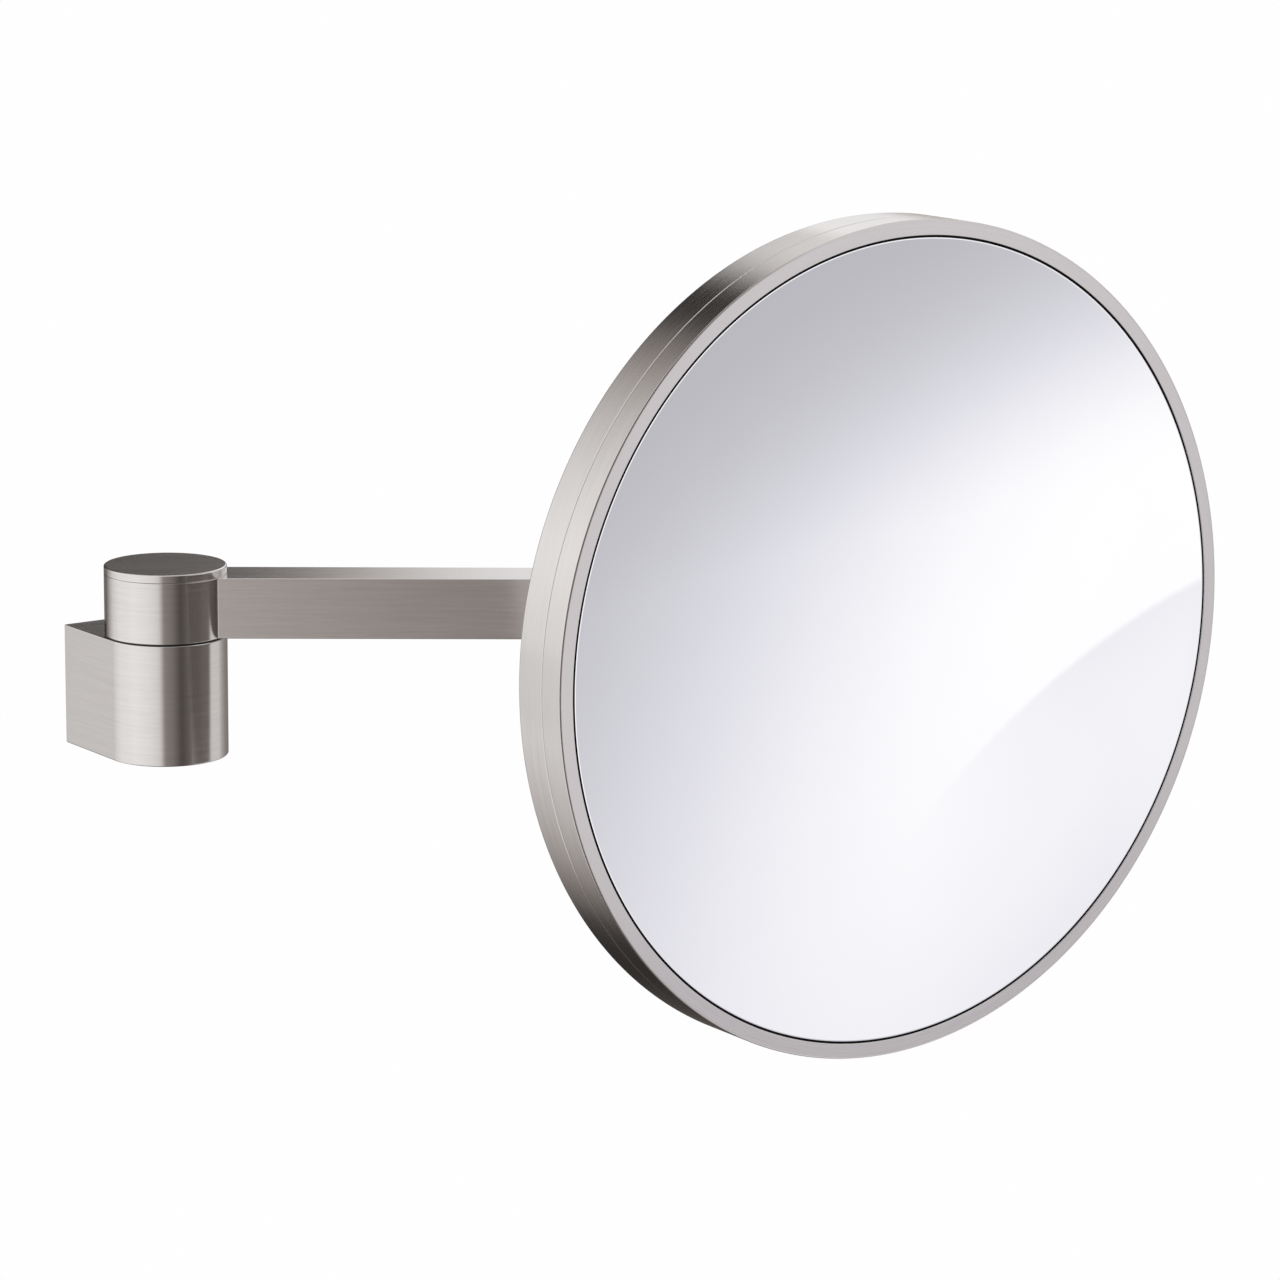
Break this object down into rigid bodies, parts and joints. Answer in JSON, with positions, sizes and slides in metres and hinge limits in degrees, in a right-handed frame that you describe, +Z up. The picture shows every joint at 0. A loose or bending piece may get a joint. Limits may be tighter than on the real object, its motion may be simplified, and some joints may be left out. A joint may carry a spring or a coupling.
{
  "type": "extendable shaving mirror",
  "caption": "Wall-mounted magnifying shaving mirror: a round head tilts and swivels on a square arm that swings on a D-shaped bracket.",
  "frame": {"origin": "middle of the wall plate's back face, where the bracket meets the wall", "axes": "+Y into the wall, +Z up, +X to the side that the arm is swung to at rest; the mirror faces -Y"},
  "size_m": [0.2311, 0.1673, 0.1999],
  "materials": {
    "brushed_nickel": "brushed, satin",
    "steel": "plain zinc-plated and stainless hardware",
    "bronze": "sintered bronze",
    "black_plastic": "moulded, matt",
    "black_rubber": "matt",
    "mirror": "silvered, hollow ground"
  },
  "bodies": {
    "wall_bracket": {"wall_plate": "steel", "bracket_housing": "brushed_nickel", "bracket_grub_screw": "steel", "wall_spindle": "steel", "spindle_screw": "steel", "swivel_washer": "black_plastic", "thrust_washer": "steel", "disc_spring": "steel", "lock_nut": "steel"},
    "arm": {"wall_hub": "brushed_nickel", "hub_bush": "bronze", "hub_cap": "brushed_nickel", "arm_tube": "brushed_nickel", "arm_set_screws": "steel", "end_fork": "brushed_nickel", "fork_cap_top": "brushed_nickel", "fork_cap_bottom": "brushed_nickel", "fork_bolt": "steel", "fork_spring": "steel", "fork_nut": "steel"},
    "neck": {"neck": "brushed_nickel", "neck_bush": "bronze", "fork_washers": "black_plastic"},
    "mirror_head": {"head_bracket": "brushed_nickel", "tilt_sleeve": "steel", "tilt_screw": "steel", "tilt_washers": "black_plastic", "bracket_screws": "steel", "backing_plate": "steel", "rear_shell": "brushed_nickel", "glass_carrier": "black_plastic", "foam_ring": "black_rubber", "mirror_glass": "mirror", "glass_gasket": "black_rubber", "front_ring": "brushed_nickel"}
  },
  "joints": [
    {"name": "arm_swivel", "type": "hinge", "parent": "wall_bracket", "child": "arm", "pos_m": [0, -0.024, 0.023], "axis": [0, 0, 1], "range_deg": [-145, 34]},
    {"name": "head_swivel", "type": "hinge", "parent": "arm", "child": "neck", "pos_m": [0.11606, -0.10407, 0.02395], "axis": [0, 0, 1], "range_deg": [-50, 160]},
    {"name": "head_tilt", "type": "hinge", "parent": "neck", "child": "mirror_head", "pos_m": [0.11606, -0.13407, 0.02395], "axis": [1, 0, 0], "range_deg": [-25, 25]}
  ]
}
